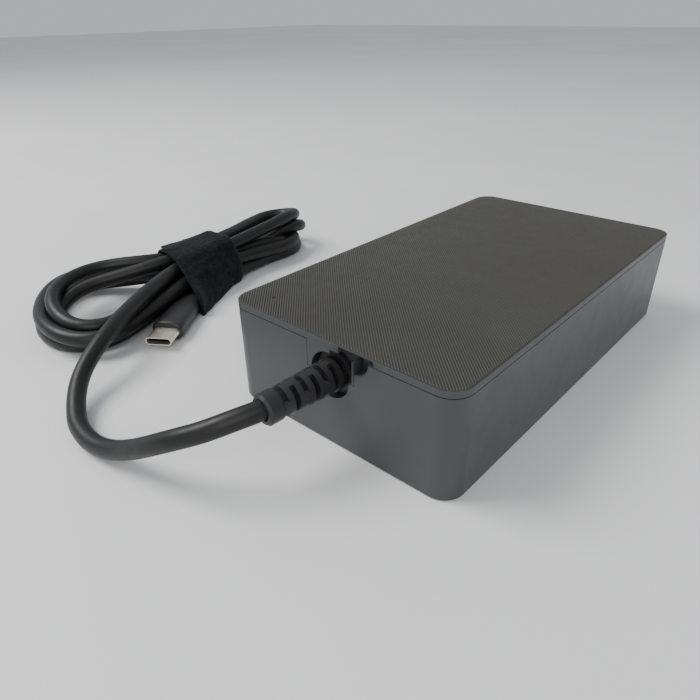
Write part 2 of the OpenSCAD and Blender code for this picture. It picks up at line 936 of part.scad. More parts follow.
module top_heat_spreader() {
  color([0.74, 0.75, 0.77])
    box([output_x + 13, -half_width + wall + 4, cover_underside - spreader_thickness],
      [case_length - 37, case_width - 2 * wall - 8, spreader_thickness]);
}

module bottom_heat_spreader() {
  color([0.74, 0.75, 0.77])
    box([output_x + 14, -half_width + wall + 8, wall + floor_gap],
      [case_length - 46, case_width - 2 * wall - 16, spreader_thickness]);
}

module top_insulation() {
  color([0.9, 0.86, 0.7])
    box([output_x + 12.5, -half_width + wall + 3.5, cover_underside - spreader_thickness - sheet_thickness],
      [case_length - 36, case_width - 2 * wall - 7, sheet_thickness]);
}

module bottom_insulation() {
  color([0.9, 0.86, 0.7])
    box([output_x + 13.5, -half_width + wall + 7.5, wall + floor_gap + spreader_thickness],
      [case_length - 45, case_width - 2 * wall - 15, sheet_thickness]);
}

module thermal_pad() {
  pad_low = board_top + 16.8;
  color([0.55, 0.6, 0.68])
    box([output_x + 38, -13, pad_low],
      [18, 20, cover_underside - spreader_thickness - sheet_thickness - pad_low]);
}

lower_case();
upper_cover();
top_panel();
light_window();
rating_label();
strain_relief();
lead();
lead_hank();
hank_tie();
plug_grip();
plug_shell();
plug_tongue();
plug_board();
inlet_housing();
pin_live();
pin_neutral();
pin_earth();
wire_live();
wire_neutral();
wire_earth();
main_board();
fuse();
varistor();
x_capacitor();
choke_core();
choke_windings();
bridge_rectifier();
factor_inductor();
bulk_capacitor();
primary_heat_sink();
primary_transistor();
transformer_core();
transformer_winding();
y_capacitor();
optocoupler();
secondary_heat_sink();
rectifier_transistor();
output_choke();
output_capacitors();
control_board();
control_chip();
status_led();
lead_wires();
top_heat_spreader();
bottom_heat_spreader();
top_insulation();
bottom_insulation();
thermal_pad();
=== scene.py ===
import math

import bpy
import numpy as np
from mathutils import Matrix, Vector, noise


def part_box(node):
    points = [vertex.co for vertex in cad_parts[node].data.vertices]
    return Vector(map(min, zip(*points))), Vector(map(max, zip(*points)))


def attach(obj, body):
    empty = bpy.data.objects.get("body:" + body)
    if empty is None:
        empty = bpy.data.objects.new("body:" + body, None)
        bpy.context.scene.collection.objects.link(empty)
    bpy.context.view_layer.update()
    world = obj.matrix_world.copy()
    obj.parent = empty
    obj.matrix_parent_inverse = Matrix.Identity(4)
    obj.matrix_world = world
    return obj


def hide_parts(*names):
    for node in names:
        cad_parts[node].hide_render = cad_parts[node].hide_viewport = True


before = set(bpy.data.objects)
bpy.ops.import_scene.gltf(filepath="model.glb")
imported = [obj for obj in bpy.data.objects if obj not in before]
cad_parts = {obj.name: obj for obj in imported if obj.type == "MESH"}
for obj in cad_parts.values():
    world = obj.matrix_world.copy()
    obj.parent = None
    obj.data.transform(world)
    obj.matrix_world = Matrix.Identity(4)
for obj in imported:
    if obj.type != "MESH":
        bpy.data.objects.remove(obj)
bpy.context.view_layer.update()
MM = 0.001


# ---- Camera ----

CAMERA_AT = Vector((-142.71, -80.25, 91.37))
CAMERA_ANGLES = (-47.72, 30.0, -0.9)
CAMERA_LENS = 30.46


def aim_camera():
    azimuth, elevation, roll = (math.radians(angle) for angle in CAMERA_ANGLES)
    back = Vector((math.sin(azimuth) * math.cos(elevation),
                   -math.cos(azimuth) * math.cos(elevation),
                   math.sin(elevation)))
    right = Vector((0, 0, 1)).cross(back).normalized()
    up = back.cross(right)
    right, up = (right * math.cos(roll) + up * math.sin(roll),
                 up * math.cos(roll) - right * math.sin(roll))
    data = bpy.data.cameras.new("view")
    data.lens = CAMERA_LENS
    data.sensor_width = 36
    camera = bpy.data.objects.new("view", data)
    bpy.context.scene.collection.objects.link(camera)
    turn = Matrix((right, up, back)).transposed().to_4x4()
    camera.matrix_world = Matrix.Translation(CAMERA_AT * MM) @ turn
    data.clip_start, data.clip_end = 0.01, 20
    bpy.context.scene.camera = camera


aim_camera()


# ---- The lead's route, in millimetres ----

LEAD_D = 4.8
LEAD_R = LEAD_D / 2
STEP = 2.4
PLUG_AT = Vector((-64.3, 70.7, 3.3))
PLUG_TURN = math.radians(34)
PLUG_AXIS = Vector((math.cos(PLUG_TURN), math.sin(PLUG_TURN), 0))
SHELL_LENGTH = 6.65
GRIP_LENGTH = 24

# From the case to the tie: straight out of the strain relief, down to the table, along it and over the hank.
# The 5th to the 21st point are the rounded output of a smoothing program, and not chosen by hand.
ROUTE = [(-60, -0.5, 19.6), (-66, 0, 19.5), (-72, 0.45, 19.3), (-78, 1, 19.15), (-81.5, 1.7, 18.9),
         (-85, 3.3, 18.4), (-88.5, 5.5, 17.4), (-91.6, 8.3, 16), (-94.3, 12, 14.3), (-96.6, 16.8, 11.8),
         (-98.4, 23, 8.3), (-99.7, 28.8, 5.4), (-101, 34.8, 3.4), (-101.6, 40.6, 2.6), (-101.2, 46.2, 2.5),
         (-99.8, 52, 3), (-97.2, 57, 4), (-94.5, 61, 5.4), (-91.8, 64.3, 6.8), (-88.4, 66.8, 8),
         (-85, 68.6, 9.4),
         (-82, 70, 10.8), (-77.5, 72.5, 11.8), (-72, 76.5, 12.2), (-65, 81.3, 12.3),
         (-58, 86.2, 12.3), (-51.5, 89.8, 12.2), (-45.5, 93.2, 12.1)]

# Each crossing under the tie, in the order the lead takes them: across and height on the left edge of the
# tie, then the same on its right edge. The first runs to the right, the next to the left, and so on.
CROSSINGS = [((97, 12.1), (99.6, 13.2)), ((103, 13.3), (106.8, 13.6)), ((101.8, 3.9), (107, 3.9)),
             ((108.5, 12.3), (111.8, 11)), ((98.6, 7.7), (102.2, 8.9)), ((105.5, 8.5), (107.4, 8.7)),
             ((91.6, 8.3), (97.3, 8.2)), ((112.3, 5.2), (112.5, 6.2)), ((95.6, 3.7), (102, 3.8))]

# Each fold, in the same order, right then left by turns: centre, half length, half width, tilt in degrees,
# heights along it, first and last angle. The first four of these are fitted by a program, and not chosen by
# hand, in the fourth, sixth and eighth fold.
FOLDS = [((20.5, 111.8), 12, 8.8, 14, (15.2, 14.4, 12.6, 11.2, 10.8), (-85, 90)),
         ((-67.5, 102.6), 13.5, 10.2, 12, (9.8, 8.6, 4.4, 2.6, 2.45), (75, 285)),
         ((22, 111), 11.5, 9.5, 0, (9.7, 9, 7.6, 6.6, 6.4), (-80, 85)),
         ((-64.5, 103), 20, 14, 48, (12.1, 12, 10, 7.6, 6.9), (65, 262)),
         ((15.5, 108.8), 8.6, 8, 0, (7.7, 4.8, 2.6, 2.5, 2.6), (-90, 85)),
         ((-66.7, 105.6), 27.4, 15.8, 66, (7.4, 7.2, 7.2, 6.4, 6.1), (85, 265)),
         ((14, 105.5), 10, 8.8, 0, (7.2, 7.2, 7.4, 7.6, 7.4), (-90, 90)),
         ((-65.7, 108.3), 25.3, 16.2, 61, (2.4, 2.4, 2.4, 2.4, 2.4), (75, 265)),
         ((17, 111.5), 12.7, 10.4, 0, (2.4, 2.4, 2.4, 2.4, 2.4), (90, -90))]
FOLD_STATIONS = 14


# The first stations stay where the route puts them, and so do those this near the overmould's cord end.
HELD_START = 35
HELD_NEAR_PLUG = 7


def left_edge(across, height):
    return np.array((-41 + (across - 81) * 0.16, across, height))


def right_edge(across, height):
    return np.array((-13 - (across - 94) * 0.14, across, height))


def fold(centre, long, wide, tilt, heights, angles):
    points = []
    t = math.radians(tilt)
    for k in range(FOLD_STATIONS):
        s = k / (FOLD_STATIONS - 1)
        a = math.radians(angles[0] + (angles[1] - angles[0]) * s) - t
        u, v = long * math.cos(a), wide * math.sin(a)
        points.append((centre[0] + u * math.cos(t) - v * math.sin(t),
                       centre[1] + u * math.sin(t) + v * math.cos(t),
                       float(np.interp(s * (len(heights) - 1), range(len(heights)), heights))))
    return points


def lead_controls():
    points = list(ROUTE)
    for turn, (left, right) in enumerate(CROSSINGS):
        ends = [left_edge(*left), right_edge(*right)]
        ends.insert(1, (ends[0] + ends[1]) / 2)
        points += ends if turn % 2 == 0 else ends[::-1]
        points += fold(*FOLDS[turn])
    end = PLUG_AT + PLUG_AXIS * (SHELL_LENGTH + GRIP_LENGTH)
    points += [right_edge(97.2, 3.6), (-22, 95.8, 3.6), (-31, 91.6, 3.4)]
    points += [tuple(end + PLUG_AXIS * 4), tuple(end), tuple(end - PLUG_AXIS * 6)]
    return np.array([tuple(p) for p in points], float)


def smooth_line(points, step):
    ends = np.vstack([2 * points[0] - points[1], points, 2 * points[-1] - points[-2]])
    out = []
    for a, b, c, d in zip(ends, ends[1:], ends[2:], ends[3:]):
        t = np.cumsum([0] + [np.linalg.norm(q - p) ** 0.5 for p, q in ((a, b), (b, c), (c, d))])
        for x in np.linspace(t[1], t[2], max(2, int(np.linalg.norm(c - b) / step * 3)), endpoint=False):
            ab = a + (b - a) * (x - t[0]) / (t[1] - t[0])
            bc = b + (c - b) * (x - t[1]) / (t[2] - t[1])
            cd = c + (d - c) * (x - t[2]) / (t[3] - t[2])
            abc = ab + (bc - ab) * (x - t[0]) / (t[2] - t[0])
            bcd = bc + (cd - bc) * (x - t[1]) / (t[3] - t[1])
            out.append(abc + (bcd - abc) * (x - t[1]) / (t[2] - t[1]))
    out.append(points[-1])
    out = np.array(out)
    s = np.r_[0, np.cumsum(np.linalg.norm(np.diff(out, axis=0), axis=1))]
    even = np.linspace(0, s[-1], int(round(s[-1] / step)) + 1)
    return np.stack([np.interp(even, s, out[:, k]) for k in range(3)], 1)


def settle(line, free, rounds=240):
    """Lets the lead rest on itself and on the table: strands pushed apart to a diameter, bends eased."""
    home, q = line.copy(), line.copy()
    seg = np.linalg.norm(np.diff(line, axis=0), axis=1).mean()
    apart = int(math.ceil(2.2 * LEAD_D / seg))
    n = len(q)
    free = free[:, None]
    for turn in range(rounds):
        if turn % 8 == 0:
            far = ((q[:, None] - q[None, :]) ** 2).sum(2)
            i, j = np.nonzero(np.triu(far < (LEAD_D + 2.5) ** 2, apart))
        bend = np.zeros_like(q)
        bend[2:-2] = (-q[:-4] + 4 * q[1:-3] - 6 * q[2:-2] + 4 * q[3:-1] - q[4:]) / 16
        q += 0.8 * bend * free
        for _ in range(2):
            away = q[i] - q[j]
            gap = np.linalg.norm(away, axis=1) + 1e-9
            push = away / gap[:, None] * (np.maximum(LEAD_D - gap, 0) * 0.5)[:, None]
            move, hits = np.zeros_like(q), np.zeros(n)
            np.add.at(move, i, push)
            np.add.at(move, j, -push)
            np.add.at(hits, i, gap < LEAD_D)
            np.add.at(hits, j, gap < LEAD_D)
            q += 0.9 * move / np.maximum(hits, 1)[:, None] * free
            q[:, 2] = np.maximum(q[:, 2], LEAD_R)
        for _ in range(2):
            d = np.diff(q, axis=0)
            size = np.linalg.norm(d, axis=1)[:, None]
            fix = d / size * (size - seg) * 0.25
            q[:-1] += fix * free[:-1]
            q[1:] -= fix * free[1:]
        q += (home - q) * 0.03 * free
        q[:, 2] = np.maximum(q[:, 2], LEAD_R)
    for _ in range(5):
        q[1:-1] += ((q[:-2] + q[2:]) / 2 - q[1:-1]) * 0.5 * free[1:-1]
        q[:, 2] = np.maximum(q[:, 2], LEAD_R)
    return q


def lead_line():
    line = smooth_line(lead_controls(), STEP)
    free = np.ones(len(line))
    free[:HELD_START] = 0
    end = np.array(PLUG_AT + PLUG_AXIS * (SHELL_LENGTH + GRIP_LENGTH))
    free[np.linalg.norm(line - end, axis=1) < HELD_NEAR_PLUG] = 0
    return settle(line, free)


# ---- Materials ----

def new_material(name):
    m = bpy.data.materials.new(name)
    m.use_nodes = True
    nt = m.node_tree
    nt.nodes.clear()
    out = nt.nodes.new("ShaderNodeOutputMaterial")
    sh = nt.nodes.new("ShaderNodeBsdfPrincipled")
    nt.links.new(sh.outputs["BSDF"], out.inputs["Surface"])
    return m, nt, sh


def node(nt, kind, **values):
    n = nt.nodes.new(kind)
    for k, v in values.items():
        if k in n.inputs.keys():
            n.inputs[k].default_value = v
        else:
            setattr(n, k, v)
    return n


def ramp(nt, source, low, high, a=0.35, b=0.65):
    r = nt.nodes.new("ShaderNodeValToRGB")
    r.color_ramp.elements[0].position, r.color_ramp.elements[1].position = a, b
    r.color_ramp.elements[0].color = (*low, 1) if hasattr(low, "__len__") else (low, low, low, 1)
    r.color_ramp.elements[1].color = (*high, 1) if hasattr(high, "__len__") else (high, high, high, 1)
    nt.links.new(source, r.inputs[0])
    return r.outputs[0]


def coords(nt, stretch=(1, 1, 1), turn=(0, 0, 0)):
    t = nt.nodes.new("ShaderNodeTexCoord")
    m = nt.nodes.new("ShaderNodeMapping")
    m.inputs["Scale"].default_value = stretch
    m.inputs["Rotation"].default_value = turn
    nt.links.new(t.outputs["Object"], m.inputs["Vector"])
    return m.outputs["Vector"]


def add_noise(nt, vector, scale, detail=4, rough=0.55):
    n = node(nt, "ShaderNodeTexNoise", Scale=scale, Detail=detail, Roughness=rough)
    nt.links.new(vector, n.inputs["Vector"])
    return n.outputs[0]


def bump(nt, sh, height, strength, distance):
    b = node(nt, "ShaderNodeBump", Strength=strength, Distance=distance)
    nt.links.new(height, b.inputs["Height"])
    old = sh.inputs["Normal"].links
    if old:
        nt.links.new(old[0].from_socket, b.inputs["Normal"])
    nt.links.new(b.outputs["Normal"], sh.inputs["Normal"])


def shade(colour, spread=0.12):
    return tuple(c * (1 - spread) for c in colour), tuple(min(1, c * (1 + spread)) for c in colour)


def plastic(name, colour, rough=(0.32, 0.42), grain=2600, grain_depth=0.000012, specular=0.5, spread=0.06,
            wear=0.0, coat=0.0):
    m, nt, sh = new_material(name)
    v = coords(nt)
    low, high = shade(colour, spread)
    nt.links.new(ramp(nt, add_noise(nt, v, 60), low, high), sh.inputs["Base Color"])
    nt.links.new(ramp(nt, add_noise(nt, v, 220, 6), rough[0], rough[1]), sh.inputs["Roughness"])
    sh.inputs["Specular IOR Level"].default_value = specular
    sh.inputs["Coat Weight"].default_value = coat
    bump(nt, sh, add_noise(nt, v, grain, 3), 0.35, grain_depth)
    if wear:
        scratch = add_noise(nt, coords(nt, (30, 900, 30), (0, 0, 0.5)), 8, 2)
        bump(nt, sh, ramp(nt, scratch, 0.0, 1.0, 0.62, 0.66), wear, 0.00001)
    return m


def rubber(name, colour, rough=(0.4, 0.55), specular=0.4):
    m, nt, sh = new_material(name)
    v = coords(nt)
    low, high = shade(colour, 0.12)
    nt.links.new(ramp(nt, add_noise(nt, v, 140, 6), low, high), sh.inputs["Base Color"])
    nt.links.new(ramp(nt, add_noise(nt, v, 420, 6), rough[0], rough[1]), sh.inputs["Roughness"])
    sh.inputs["Specular IOR Level"].default_value = specular
    bump(nt, sh, add_noise(nt, v, 1800, 4), 0.3, 0.00002)
    return m


def metal(name, colour, rough=(0.18, 0.3), grain=(1, 1, 1)):
    m, nt, sh = new_material(name)
    low, high = shade(colour, 0.06)
    v = coords(nt, grain)
    nt.links.new(ramp(nt, add_noise(nt, v, 500, 5), low, high), sh.inputs["Base Color"])
    nt.links.new(ramp(nt, add_noise(nt, v, 900, 5), rough[0], rough[1]), sh.inputs["Roughness"])
    sh.inputs["Metallic"].default_value = 1.0
    bump(nt, sh, add_noise(nt, v, 1500, 4), 0.15, 0.000008)
    return m


def nap_fabric(name, colour):
    """The looped face of a hook-and-loop tie: short dark nap over a faint weave."""
    m, nt, sh = new_material(name)
    v = coords(nt)
    loops = node(nt, "ShaderNodeTexVoronoi", Scale=1500)
    nt.links.new(v, loops.inputs["Vector"])
    fuzz = add_noise(nt, v, 2600, 8, 0.7)
    patch = add_noise(nt, v, 420, 5, 0.65)
    low, high = shade(colour, 0.75)
    nt.links.new(ramp(nt, patch, low, high, 0.35, 0.7), sh.inputs["Base Color"])
    nt.links.new(ramp(nt, fuzz, 0.8, 1.0), sh.inputs["Roughness"])
    sh.inputs["Specular IOR Level"].default_value = 0.12
    sh.inputs["Sheen Weight"].default_value = 0.07
    sh.inputs["Sheen Roughness"].default_value = 0.5
    bump(nt, sh, patch, 0.6, 0.0004)
    bump(nt, sh, loops.outputs["Distance"], 0.8, 0.0002)
    bump(nt, sh, fuzz, 0.6, 0.0001)
    return m


def clear(name, colour):
    m, nt, sh = new_material(name)
    v = coords(nt)
    low, high = shade(colour, 0.03)
    nt.links.new(ramp(nt, add_noise(nt, v, 300), low, high), sh.inputs["Base Color"])
    nt.links.new(ramp(nt, add_noise(nt, v, 800), 0.05, 0.15), sh.inputs["Roughness"])
    sh.inputs["Transmission Weight"].default_value = 0.7
    sh.inputs["IOR"].default_value = 1.49
    return m


def dress(obj, material):
    obj.data.materials.clear()
    obj.data.materials.append(material)


CASE = plastic("case_plastic", (0.044, 0.045, 0.048), (0.34, 0.40), spread=0.03, wear=0.03)
PANEL = plastic("panel_plastic", (0.046, 0.045, 0.039), (0.42, 0.50), specular=0.4, spread=0.04)
JACKET = rubber("lead_jacket", (0.011, 0.011, 0.0115), (0.36, 0.48), 0.32)
SOFT = rubber("soft_black", (0.014, 0.014, 0.015), (0.38, 0.5), 0.45)
GRIP = plastic("plug_moulding", (0.020, 0.020, 0.021), (0.36, 0.46), grain=3200, specular=0.4)
NAP = nap_fabric("hook_and_loop", (0.0055, 0.0065, 0.0095))
SHELL = metal("nickel_plate", (0.84, 0.79, 0.69), (0.34, 0.44))
PIN = metal("pin_nickel", (0.78, 0.76, 0.72), (0.16, 0.26))
ALU = metal("bare_aluminium", (0.76, 0.77, 0.79), (0.28, 0.42), (1, 30, 1))
COPPER = metal("enamelled_copper", (0.62, 0.28, 0.12), (0.2, 0.34), (1, 1, 60))
LINER = plastic("black_liner", (0.012, 0.012, 0.012), (0.5, 0.6))
INLET = plastic("inlet_black", (0.016, 0.016, 0.018), (0.42, 0.52))
LABEL = plastic("label_film", (0.085, 0.085, 0.09), (0.45, 0.55), grain=900)
BOARD = plastic("green_board", (0.03, 0.16, 0.07), (0.3, 0.45), spread=0.2)
EPOXY = plastic("black_epoxy", (0.02, 0.02, 0.022), (0.55, 0.7))
WHITE_EPOXY = plastic("white_epoxy", (0.75, 0.75, 0.72), (0.5, 0.6))
FERRITE = plastic("ferrite", (0.035, 0.035, 0.038), (0.5, 0.75), grain=1200, grain_depth=0.00004)
SLEEVE = plastic("capacitor_sleeve", (0.02, 0.02, 0.03), (0.15, 0.25))
SMALL_SLEEVE = plastic("small_capacitor_sleeve", (0.02, 0.03, 0.12), (0.15, 0.25))
TAPE = plastic("yellow_tape", (0.80, 0.58, 0.04), (0.3, 0.42))
BOX_CAP = plastic("film_capacitor_box", (0.78, 0.55, 0.06), (0.4, 0.5))
BLUE_COAT = plastic("varistor_coat", (0.05, 0.14, 0.42), (0.2, 0.35))
DISC_COAT = plastic("disc_capacitor_coat", (0.05, 0.18, 0.50), (0.2, 0.35))
FUSE_BODY = plastic("fuse_glass_metal", (0.75, 0.72, 0.66), (0.15, 0.3))
TOROID = plastic("wound_toroid", (0.42, 0.20, 0.07), (0.2, 0.35), grain=500, grain_depth=0.0002)
LED = clear("led_lens", (0.95, 0.97, 0.9))
WINDOW = clear("clear_acrylic", (0.05, 0.05, 0.05))
CORE_RED = plastic("core_insulation", (0.5, 0.03, 0.02), (0.3, 0.4))
SHEET = plastic("insulating_sheet", (0.80, 0.74, 0.55), (0.5, 0.65), grain=700, grain_depth=0.00003)
PAD = rubber("silicone_pad", (0.40, 0.46, 0.56), (0.6, 0.75))
BROWN = plastic("wire_brown", (0.20, 0.08, 0.03), (0.3, 0.4))
BLUE = plastic("wire_blue", (0.03, 0.10, 0.42), (0.3, 0.4))
GREEN = plastic("wire_green_yellow", (0.35, 0.50, 0.04), (0.3, 0.4))

NODE_MATERIALS = {
    "lower_case": CASE, "upper_cover": CASE, "top_panel": PANEL, "light_window": WINDOW,
    "rating_label": LABEL, "strain_relief": SOFT, "plug_grip": GRIP, "plug_shell": SHELL,
    "plug_tongue": LINER, "plug_board": BOARD, "lead": JACKET, "lead_hank": JACKET, "hank_tie": NAP,
    "inlet_housing": INLET, "pin_live": PIN, "pin_neutral": PIN, "pin_earth": PIN, "wire_live": BROWN,
    "wire_neutral": BLUE, "wire_earth": GREEN, "main_board": BOARD, "fuse": FUSE_BODY,
    "varistor": BLUE_COAT, "x_capacitor": BOX_CAP, "choke_core": FERRITE, "choke_windings": COPPER,
    "bridge_rectifier": EPOXY, "factor_inductor": FERRITE, "bulk_capacitor": SLEEVE,
    "primary_heat_sink": ALU, "primary_transistor": EPOXY, "transformer_core": FERRITE,
    "transformer_winding": TAPE, "y_capacitor": DISC_COAT, "optocoupler": WHITE_EPOXY,
    "secondary_heat_sink": ALU, "rectifier_transistor": EPOXY, "output_choke": TOROID,
    "output_capacitors": SMALL_SLEEVE, "control_board": BOARD, "control_chip": EPOXY, "status_led": LED,
    "lead_wires": CORE_RED, "top_heat_spreader": ALU, "bottom_heat_spreader": ALU,
    "top_insulation": SHEET, "bottom_insulation": SHEET, "thermal_pad": PAD}
for name, material in NODE_MATERIALS.items():
    dress(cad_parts[name], material)


# ---- Building ----

def mesh_object(name, verts, faces, material, smooth=True):
    me = bpy.data.meshes.new(name)
    me.from_pydata([tuple(v) for v in verts], [], faces)
    me.validate()
    if smooth:
        me.polygons.foreach_set("use_smooth", [True] * len(me.polygons))
    o = bpy.data.objects.new(name, me)
    bpy.context.scene.collection.objects.link(o)
    o.data.materials.append(material)
    return o


# ---- The case and the parts that show on it ----

PANEL_TOP = 28.3
PANEL_CORNER = 5.0
RIB_PITCH = 0.6
RIB_HEIGHT = 0.24
RIB_LANES = [(0.0, 0), (0.04, 0.55), (0.11, 0.9), (0.21, 1), (0.31, 0.9), (0.38, 0.55), (0.42, 0),
             (0.59, 0)]
RIB_END = 0.3
PANEL_GAP = 0.12
RIM_STEPS = 12
LIGHT_AT = (-54.5, 25.8)
LIGHT_R = 0.45
LIGHT_DEEP = 0.35
LIGHT_WALL = 0.02


def soften(name, piece_name, width, segments=3, angle=32):
    """A copy of a CAD node whose edges are rounded as moulding rounds them."""
    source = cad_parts[name]
    me = source.data.copy()
    me.polygons.foreach_set("use_smooth", [True] * len(me.polygons))
    me.set_sharp_from_angle(angle=math.radians(angle))
    o = bpy.data.objects.new(piece_name, me)
    bpy.context.scene.collection.objects.link(o)
    o.matrix_world = source.matrix_world.copy()
    edge = o.modifiers.new("edge", "BEVEL")
    edge.width = width * MM
    edge.segments = segments
    edge.limit_method = "ANGLE"
    edge.angle_limit = math.radians(angle)
    edge.use_clamp_overlap = True
    edge.harden_normals = True
    dress(o, NODE_MATERIALS[name])
    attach(o, "root")
    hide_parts(name)
    return o


def lane_span(offset, half_x, half_y, corner):
    """Where a rib lane at 45 degrees enters and leaves the panel's rounded outline, by bisection."""
    along, across = np.array((1, 1)) / math.sqrt(2), np.array((-1, 1)) / math.sqrt(2)

    def inside(t):
        x, y = np.abs(across * offset + along * t)
        if x > half_x or y > half_y:
            return False
        dx, dy = x - (half_x - corner), y - (half_y - corner)
        return dx <= 0 or dy <= 0 or dx * dx + dy * dy <= corner * corner

    # The middle of the plain rectangle's chord is inside the rounded one unless the lane only cuts a corner.
    c = offset / math.sqrt(2)
    low, high = max(-half_x + c, -half_y - c), min(half_x + c, half_y - c)
    middle = (low + high) / 2 * math.sqrt(2)
    if high <= low or not inside(middle):
        return None
    ends = []
    for way in (-1, 1):
        a, b = 0.0, (high - low) * math.sqrt(2) / 2 + 1
        for _ in range(22):
            m = (a + b) / 2
            a, b = (m, b) if inside(middle + way * m) else (a, m)
        ends.append(middle + way * a)
    return ends


def rib_lane(offset, span, floor, rise, across, along):
    """One line of points along a rib, with eased ends and a dip where the light window is."""
    s0, s1 = span
    light = np.array(LIGHT_AT)
    light_off, light_on = float(light @ across), float(light @ along)
    edge = min(RIB_END, (s1 - s0) / 5)
    hole = math.sqrt(max(LIGHT_R ** 2 - (offset - light_off) ** 2, 0))
    mid = min(max(light_on, s0 + edge * 1.5 + hole), s1 - edge * 1.5 - hole)
    top = floor + RIB_HEIGHT * rise
    deep = floor - LIGHT_DEEP if hole > 0 and abs(mid - light_on) < 0.01 else top
    shoulder = floor + (top - floor) * 0.75
    stations = [(s0, floor), (s0 + edge * 0.35, shoulder), (s0 + edge, top),
                (mid - hole - LIGHT_WALL, top), (mid - hole, deep),
                (mid + hole, deep), (mid + hole + LIGHT_WALL, top),
                (s1 - edge, top), (s1 - edge * 0.35, shoulder), (s1, floor)]
    return [(*(across * offset + along * t), z) for t, z in stations]


def panel_rim(half_x, half_y):
    """The panel's rounded outline."""
    rim = []
    for cx, cy, start in ((1, 1, 0), (-1, 1, 90), (-1, -1, 180), (1, -1, 270)):
        for step in range(RIM_STEPS + 1):
            a = math.radians(start + step * 90 / RIM_STEPS)
            rim.append((cx * (half_x + PANEL_GAP - PANEL_CORNER) + PANEL_CORNER * math.cos(a),
                        cy * (half_y + PANEL_GAP - PANEL_CORNER) + PANEL_CORNER * math.sin(a)))
    return rim


def make_panel():
    low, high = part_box("top_panel")
    half_x, half_y = ((high[k] / MM - low[k] / MM) / 2 - PANEL_GAP for k in (0, 1))
    along, across = np.array((1, 1)) / math.sqrt(2), np.array((-1, 1)) / math.sqrt(2)
    floor = PANEL_TOP - RIB_HEIGHT
    reach = (half_x + half_y) / math.sqrt(2)
    rows = []
    for i in range(int(-reach / RIB_PITCH) - 1, int(reach / RIB_PITCH) + 2):
        for lane, rise in RIB_LANES:
            offset = i * RIB_PITCH + lane
            span = lane_span(offset, half_x, half_y, PANEL_CORNER)
            if span is not None:
                rows.append(rib_lane(offset, span, floor, rise, across, along))
    wide = len(rows[0])
    verts = [v for row in rows for v in row]
    faces = [(r * wide + k, r * wide + k + 1, (r + 1) * wide + k + 1, (r + 1) * wide + k)
             for r in range(len(rows) - 1) for k in range(wide - 1)]
    rim = panel_rim(half_x, half_y)
    first, count = len(verts), len(rim)
    for z in (low[2] / MM, floor - 0.01):
        verts += [(x, y, z) for x, y in rim]
    faces += [(first + k, first + (k + 1) % count, first + count + (k + 1) % count, first + count + k)
              for k in range(count)]
    faces.append(tuple(range(first, first + count))[::-1])
    inner = len(verts)
    verts += [(x * 0.992, y * 0.985, floor - 0.005) for x, y in rim]
    faces += [(first + count + k, first + count + (k + 1) % count, inner + (k + 1) % count, inner + k)
              for k in range(count)]
    panel = mesh_object("ribbed_panel", np.array(verts) * MM, faces, PANEL)
    panel.data.set_sharp_from_angle(angle=math.radians(50))
    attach(panel, "root")
    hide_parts("top_panel")


make_panel()
soften("lower_case", "case_shell", 0.22)
soften("upper_cover", "case_cover", 0.16)
soften("inlet_housing", "mains_inlet", 0.2)
boot = soften("strain_relief", "lead_boot", 0.12, 2, 40)
shell = soften("plug_shell", "plug_metal", 0.12)


# ---- The plug's overmould ----

GRIP_SIDES = 40
GRIP_STATIONS = [(0, 0.0), (0, 0.8), (0.35, 0.97), (0.8, 1), (4, 1), (8, 0.985), (12, 0.955), (16, 0.915),
                 (20, 0.865), (22.5, 0.83), (23.5, 0.79), (23.9, 0.7), (24, 0.55)]
GRIP_WIDE = 5.0
GRIP_TALL = 3.25
GRIP_SQUARE = 2.6


def make_grip():
    across = Vector((-PLUG_AXIS.y, PLUG_AXIS.x, 0))
    verts, faces = [], []
    for along, size in GRIP_STATIONS:
        tall = size if along < 20 else size * 0.98
        lean = 0.02 * along
        for k in range(GRIP_SIDES):
            a = 2 * math.pi * k / GRIP_SIDES
            c, s = math.cos(a), math.sin(a)
            y = math.copysign(abs(c) ** (2 / GRIP_SQUARE), c) * GRIP_WIDE * size
            z = math.copysign(abs(s) ** (2 / GRIP_SQUARE), s) * GRIP_TALL * tall
            middle = PLUG_AT + PLUG_AXIS * (SHELL_LENGTH + along)
            verts.append((middle + across * (y + lean) + Vector((0, 0, z))) * MM)
    for j in range(len(GRIP_STATIONS) - 1):
        for k in range(GRIP_SIDES):
            n = (k + 1) % GRIP_SIDES
            low, high = j * GRIP_SIDES, (j + 1) * GRIP_SIDES
            faces.append((low + k, low + n, high + n, high + k))
    faces.append(tuple(range(GRIP_SIDES))[::-1])
    faces.append(tuple(range((len(GRIP_STATIONS) - 1) * GRIP_SIDES, len(GRIP_STATIONS) * GRIP_SIDES)))
    grip = mesh_object("plug_overmould", verts, faces, GRIP)
    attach(grip, "root")
    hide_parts("plug_grip")
    return grip


def lay_lead():
    line = lead_line()
    data = bpy.data.curves.new("lead_cord", "CURVE")
    data.dimensions = "3D"
    spline = data.splines.new("NURBS")
    spline.points.add(len(line) - 1)
    for point, at in zip(spline.points, line):
        point.co = (*(at * MM), 1)
    spline.order_u = 3
    spline.use_endpoint_u = True
    spline.resolution_u = 3
    data.bevel_depth = LEAD_R * MM
    data.bevel_resolution = 7
    data.use_fill_caps = True
    o = bpy.data.objects.new("lead_cord", data)
    bpy.context.scene.collection.objects.link(o)
    o.data.materials.append(JACKET)
    return o, line


cord_obj, line = lay_lead()
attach(cord_obj, "root")
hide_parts("lead", "lead_hank")
make_grip()


# ---- The tie ----

